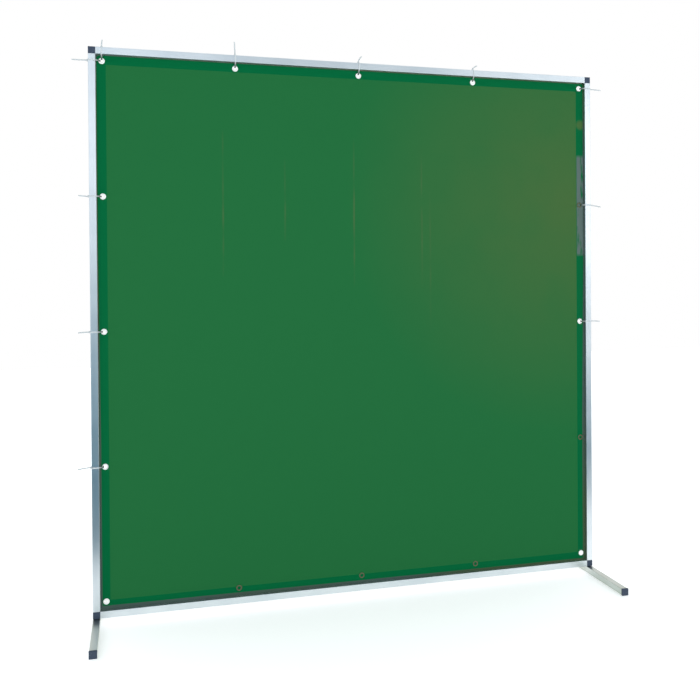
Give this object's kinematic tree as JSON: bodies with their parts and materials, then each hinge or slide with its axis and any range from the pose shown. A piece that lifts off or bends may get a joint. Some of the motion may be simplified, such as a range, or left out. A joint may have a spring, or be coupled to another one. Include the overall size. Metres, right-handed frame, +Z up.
{
  "type": "welding curtain screen",
  "caption": "Free-standing square screen: a light tube frame on cross feet that turn, with a translucent welding curtain tied in through its eyelets.",
  "frame": {"origin": "on the floor below the middle of the frame", "axes": "+Z up; +X to the right along the frame, seen from the front; the front looks along -Y, and the frame's middle plane is y = 0"},
  "size_m": [2.114, 0.54, 2.1258],
  "materials": {
    "anodised_aluminium": "satin anodised square tube",
    "joint_plastic": "moulded, fine grain, dark blue-grey",
    "curtain_pvc": "translucent green PVC sheet with a soft sheen",
    "eyelet_nickel": "nickel-plated brass",
    "tie_nylon": "natural translucent nylon",
    "zinc_steel": "zinc plated",
    "insert_brass": "turned brass"
  },
  "bodies": {
    "frame": {"bottom_left_joint": "joint_plastic", "bottom_rail": "anodised_aluminium", "bottom_right_joint": "joint_plastic", "curtain_sheet": "curtain_pvc", "eyelet_bottom_1": "eyelet_nickel", "eyelet_bottom_2": "eyelet_nickel", "eyelet_bottom_3": "eyelet_nickel", "eyelet_left_1": "eyelet_nickel", "eyelet_left_2": "eyelet_nickel", "eyelet_left_3": "eyelet_nickel", "eyelet_left_4": "eyelet_nickel", "eyelet_left_5": "eyelet_nickel", "eyelet_right_1": "eyelet_nickel", "eyelet_right_2": "eyelet_nickel", "eyelet_right_3": "eyelet_nickel", "eyelet_right_4": "eyelet_nickel", "eyelet_right_5": "eyelet_nickel", "eyelet_top_2": "eyelet_nickel", "eyelet_top_3": "eyelet_nickel", "eyelet_top_4": "eyelet_nickel", "left_foot_insert": "insert_brass", "left_foot_screw": "zinc_steel", "left_foot_washer": "zinc_steel", "left_post": "anodised_aluminium", "right_foot_insert": "insert_brass", "right_foot_screw": "zinc_steel", "right_foot_washer": "zinc_steel", "right_post": "anodised_aluminium", "tie_left_1": "tie_nylon", "tie_left_2": "tie_nylon", "tie_left_3": "tie_nylon", "tie_left_4": "tie_nylon", "tie_right_1": "tie_nylon", "tie_right_2": "tie_nylon", "tie_right_3": "tie_nylon", "tie_top_1": "tie_nylon", "tie_top_2": "tie_nylon", "tie_top_3": "tie_nylon", "tie_top_4": "tie_nylon", "top_left_joint": "joint_plastic", "top_rail": "anodised_aluminium", "top_right_joint": "joint_plastic"},
    "left_foot": {"left_foot_tube": "anodised_aluminium", "left_front_foot_cap": "joint_plastic", "left_rear_foot_cap": "joint_plastic"},
    "right_foot": {"right_foot_tube": "anodised_aluminium", "right_front_foot_cap": "joint_plastic", "right_rear_foot_cap": "joint_plastic"}
  },
  "joints": [
    {"name": "left_foot_swivel", "type": "hinge", "parent": "frame", "child": "left_foot", "pos_m": [-0.9875, 0, 0.0263], "axis": [0, 0, 1], "range_deg": [-90, 90]},
    {"name": "right_foot_swivel", "type": "hinge", "parent": "frame", "child": "right_foot", "pos_m": [0.9875, 0, 0.0263], "axis": [0, 0, 1], "range_deg": [-90, 90]}
  ]
}
